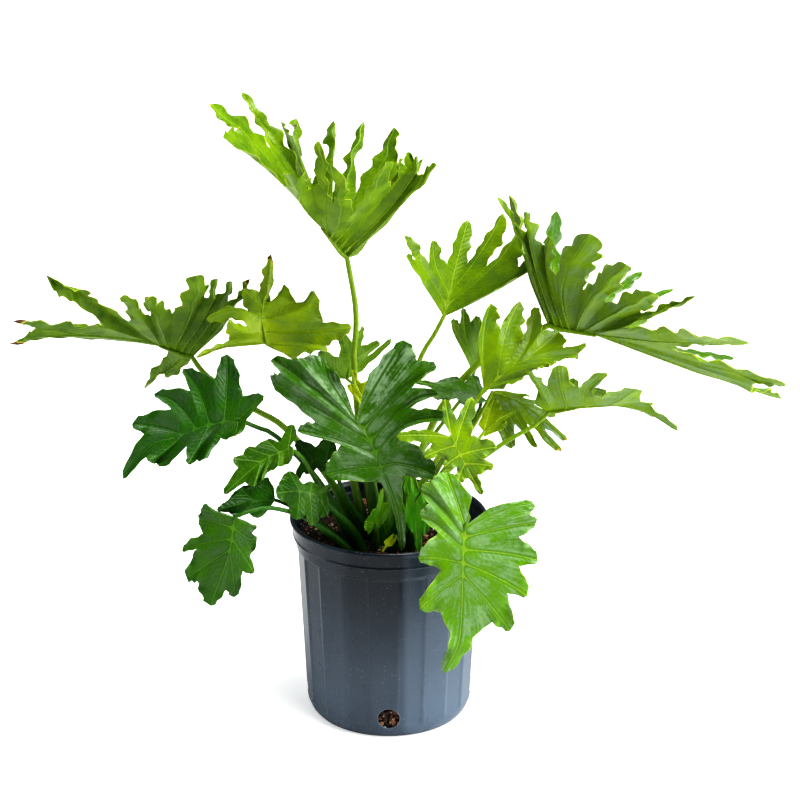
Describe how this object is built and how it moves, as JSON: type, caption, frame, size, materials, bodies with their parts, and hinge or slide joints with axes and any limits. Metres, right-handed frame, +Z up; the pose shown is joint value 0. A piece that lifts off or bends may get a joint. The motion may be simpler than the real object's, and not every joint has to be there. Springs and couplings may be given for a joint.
{
  "type": "potted houseplant",
  "caption": "Lacy tree philodendron with deeply lobed leaves on long stalks, growing in a round ribbed plastic nursery pot filled with bark soil.",
  "frame": {"origin": "middle of the pot's underside, on the surface that it stands on", "axes": "+Z up along the pot's axis, -Y towards the front as pictured, +X to the right seen from the front"},
  "size_m": [0.9958, 0.428, 0.8023],
  "materials": {
    "pot_plastic": "satin black-grey moulded plastic, slightly dusty",
    "potting_soil": "damp dark potting soil with bark chips and white perlite grains",
    "leaf_lime": "living leaf, softly glossy on its upper side and paler below",
    "leaf_bright": "living leaf, softly glossy on its upper side and paler below",
    "leaf_green": "living leaf, softly glossy on its upper side and paler below",
    "leaf_deep": "living leaf, softly glossy on its upper side and paler below",
    "leaf_dark": "living leaf, softly glossy on its upper side and paler below",
    "leaf_yellow": "living leaf, softly glossy on its upper side and paler below"
  },
  "bodies": {
    "root": {"pot": "pot_plastic", "soil": "potting_soil", "leaf_top": "leaf_lime", "leaf_far_left": "leaf_green", "leaf_arched_left": "leaf_bright", "leaf_small_cup": "leaf_lime", "leaf_yellow": "leaf_yellow", "leaf_middle_left": "leaf_dark", "leaf_yellow_green": "leaf_green", "leaf_dark_low": "leaf_dark", "leaf_low_left": "leaf_green", "leaf_over_rim": "leaf_green", "leaf_dark_behind": "leaf_dark", "leaf_front": "leaf_deep", "leaf_dark_right": "leaf_green", "leaf_upper_middle": "leaf_lime", "leaf_far_right": "leaf_bright", "leaf_lime_right": "leaf_lime", "leaf_dark_back": "leaf_green", "leaf_low_right": "leaf_bright", "leaf_drooping_right": "leaf_bright", "leaf_small_right": "leaf_lime", "leaf_glossy_young": "leaf_lime", "leaf_front_right": "leaf_bright", "leaf_crown_left": "leaf_bright", "leaf_crown_right": "leaf_green", "leaf_crown_back": "leaf_green", "leaf_crown_front": "leaf_lime"}
  },
  "joints": []
}
